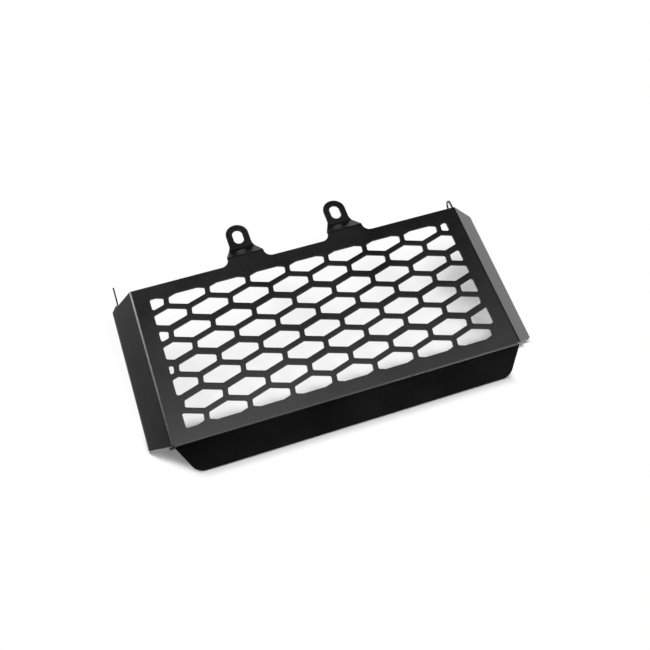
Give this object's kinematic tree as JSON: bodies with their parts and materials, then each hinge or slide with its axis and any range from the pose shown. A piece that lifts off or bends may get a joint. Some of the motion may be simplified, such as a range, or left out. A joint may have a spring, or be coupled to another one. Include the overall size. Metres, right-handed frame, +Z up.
{
  "type": "motorcycle radiator guard",
  "caption": "Folded sheet-metal radiator guard: honeycomb grille panel with splayed side flanges, a sloping bottom flange and stepped, slotted mounting lugs.",
  "frame": {"origin": "on the ground, under the middle of the guard's box as it lies on its back", "axes": "+Z up, +X to the right as seen from the front, +Y towards the top lugs; the front of the grille faces up and leans down towards -Y by 9.8 degrees"},
  "size_m": [0.249, 0.1496, 0.0355],
  "materials": {
    "black_coat": "satin black powder coat on sheet metal"
  },
  "bodies": {
    "root": {"guard": "black_coat"}
  },
  "joints": []
}
